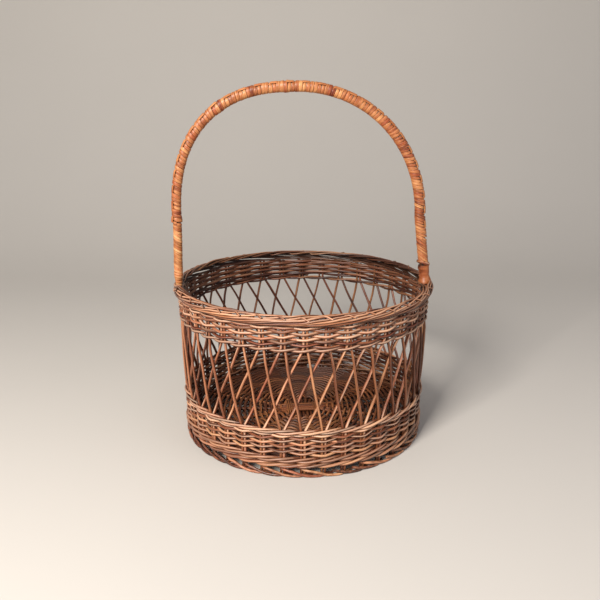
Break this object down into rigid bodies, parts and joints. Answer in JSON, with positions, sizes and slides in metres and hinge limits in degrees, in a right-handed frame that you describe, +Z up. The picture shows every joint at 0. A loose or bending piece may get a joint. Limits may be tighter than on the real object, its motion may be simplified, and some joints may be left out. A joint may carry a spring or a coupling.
{
  "type": "round wicker basket",
  "caption": "Round willow basket with woven bands, an open band of crossed stakes, a rolled border and a tall fixed bow handle lapped with flat skein.",
  "frame": {"origin": "centre of the basket's plan at the height of the ground it stands on", "axes": "+Z up out of the basket's mouth; the bow handle spans from -X to +X; -Y is the front"},
  "size_m": [0.3522, 0.3512, 0.47],
  "materials": {
    "stake_rod": "buff willow rod, smooth with a low sheen, reddish tan",
    "weaver_rod": "buff willow rod, smooth with a low sheen, mixed straw, tan and pinkish brown",
    "foot_rod": "buff willow rod, brown, a little worn and dusty",
    "base_rod": "buff willow rod, dark brown",
    "bow_rod": "thick willow rod, brown",
    "lapping_skein": "split flat skein, honey brown, satin"
  },
  "bodies": {
    "root": {"base_sticks_across": "base_rod", "base_sticks_lengthways": "base_rod", "base_weaver_a": "base_rod", "base_weaver_b": "base_rod", "foot_border_a": "foot_rod", "foot_border_b": "foot_rod", "foot_border_c": "foot_rod", "handle_bow": "bow_rod", "handle_lapping": "lapping_skein", "left_leg_lapping": "lapping_skein", "lower_fitch_a": "weaver_rod", "lower_fitch_b": "weaver_rod", "lower_weaver_a": "weaver_rod", "lower_weaver_b": "weaver_rod", "right_leg_knot": "lapping_skein", "right_leg_sleeve": "lapping_skein", "slath_tie": "base_rod", "stake_pair_01": "stake_rod", "stake_pair_02": "stake_rod", "stake_pair_03": "stake_rod", "stake_pair_04": "stake_rod", "stake_pair_05": "stake_rod", "stake_pair_06": "stake_rod", "stake_pair_07": "stake_rod", "stake_pair_08": "stake_rod", "stake_pair_09": "stake_rod", "stake_pair_10": "stake_rod", "stake_pair_11": "stake_rod", "stake_pair_12": "stake_rod", "stake_pair_13": "stake_rod", "stake_pair_14": "stake_rod", "stake_pair_15": "stake_rod", "stake_pair_16": "stake_rod", "stake_pair_17": "stake_rod", "stake_pair_18": "stake_rod", "stake_pair_19": "stake_rod", "stake_pair_20": "stake_rod", "stake_pair_21": "stake_rod", "stake_pair_22": "stake_rod", "stake_pair_23": "stake_rod", "stake_pair_24": "stake_rod", "stake_pair_25": "stake_rod", "stake_pair_26": "stake_rod", "stake_pair_27": "stake_rod", "stake_pair_28": "stake_rod", "stake_pair_29": "stake_rod", "stake_pair_30": "stake_rod", "stake_pair_31": "stake_rod", "stake_pair_32": "stake_rod", "stake_pair_33": "stake_rod", "stake_pair_34": "stake_rod", "stake_pair_35": "stake_rod", "stake_pair_36": "stake_rod", "upper_fitch_a": "weaver_rod", "upper_fitch_b": "weaver_rod", "upper_weaver_a": "weaver_rod", "upper_weaver_b": "weaver_rod", "upsett_rod_a": "foot_rod", "upsett_rod_b": "foot_rod", "upsett_rod_c": "foot_rod"}
  },
  "joints": []
}
